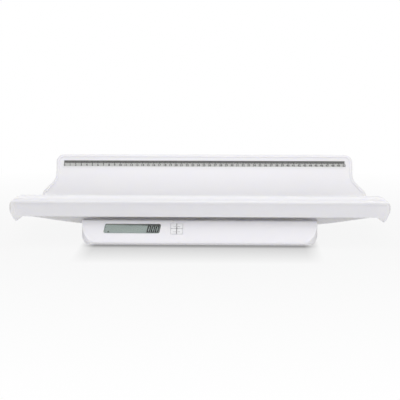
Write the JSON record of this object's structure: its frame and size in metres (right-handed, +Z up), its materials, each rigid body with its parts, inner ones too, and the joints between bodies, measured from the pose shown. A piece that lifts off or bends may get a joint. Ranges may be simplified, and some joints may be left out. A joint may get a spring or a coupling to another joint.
{
  "type": "digital baby weighing scale",
  "caption": "Digital baby scale: a lift-off trough tray with hooked end grips and a ruler on its back wall, on a low base with a sloped display, four keys and weighing feet.",
  "frame": {"origin": "on the table, under the middle of the scale's outline", "axes": "+X along the tray to the right seen from the display, +Y from the display to the high back wall, +Z up"},
  "size_m": [0.6, 0.328, 0.1177],
  "materials": {
    "white_shell": "satin moulded",
    "ruler_film": "printed film",
    "base_underside": "fine grain",
    "smoke_lens": "clear window",
    "lcd": "grey-green display glass",
    "key_plastic": "satin",
    "frame_plastic": "fine grain",
    "silicone": "matt",
    "grey_rubber": "matt",
    "board_green": "solder resist",
    "black_resin": "moulded",
    "spring_steel": "plated",
    "zinc_steel": "zinc plated",
    "cell_case": "printed sleeve"
  },
  "bodies": {
    "base": {"battery_first": "cell_case", "battery_fourth": "cell_case", "battery_second": "cell_case", "battery_third": "cell_case", "board_screws": "zinc_steel", "buzzer": "black_resin", "cell_holder_front_left": "base_underside", "cell_holder_front_right": "base_underside", "cell_holder_rear_left": "base_underside", "cell_holder_rear_right": "base_underside", "contact_plates": "spring_steel", "contact_springs": "spring_steel", "contact_strips": "grey_rubber", "control_chip": "black_resin", "display_board": "board_green", "display_lens": "smoke_lens", "foot_cup_front_left": "key_plastic", "foot_cup_front_right": "key_plastic", "foot_cup_rear_left": "key_plastic", "foot_cup_rear_right": "key_plastic", "foot_pad_front_left": "grey_rubber", "foot_pad_front_right": "grey_rubber", "foot_pad_rear_left": "grey_rubber", "foot_pad_rear_right": "grey_rubber", "holder_screws": "zinc_steel", "housing_screws": "zinc_steel", "key_mat": "silicone", "lcd_frame": "frame_plastic", "lcd_glass": "lcd", "load_cell_front_left": "zinc_steel", "load_cell_front_right": "zinc_steel", "load_cell_rear_left": "zinc_steel", "load_cell_rear_right": "zinc_steel", "lower_housing": "base_underside", "seat_pads": "grey_rubber", "upper_housing": "white_shell"},
    "tray": {"tray": "white_shell", "ruler_strip": "ruler_film"},
    "battery_door": {"battery_door": "base_underside"},
    "unit_key": {"unit_key": "key_plastic"},
    "hold_key": {"hold_key": "key_plastic"},
    "tare_key": {"tare_key": "key_plastic"},
    "power_key": {"power_key": "key_plastic"}
  },
  "joints": [
    {"name": "tray_lift", "type": "slide", "parent": "base", "child": "tray", "axis": [0, 0, 1], "range_m": [0, 0.06]},
    {"name": "unit_key_press", "type": "slide", "parent": "base", "child": "unit_key", "axis": [0, 0.8141, -0.5807], "range_m": [0, 0.0006], "stiffness_N_per_m": 1200},
    {"name": "hold_key_press", "type": "slide", "parent": "base", "child": "hold_key", "axis": [0, 0.8141, -0.5807], "range_m": [0, 0.0006], "stiffness_N_per_m": 1200},
    {"name": "tare_key_press", "type": "slide", "parent": "base", "child": "tare_key", "axis": [0, 0.8141, -0.5807], "range_m": [0, 0.0006], "stiffness_N_per_m": 1200},
    {"name": "power_key_press", "type": "slide", "parent": "base", "child": "power_key", "axis": [0, 0.8141, -0.5807], "range_m": [0, 0.0006], "stiffness_N_per_m": 1200},
    {"name": "battery_door_hinge", "type": "hinge", "parent": "base", "child": "battery_door", "pos_m": [0, 0.02855, 0.0053], "axis": [-1, 0, 0], "range_deg": [0, 80]}
  ]
}
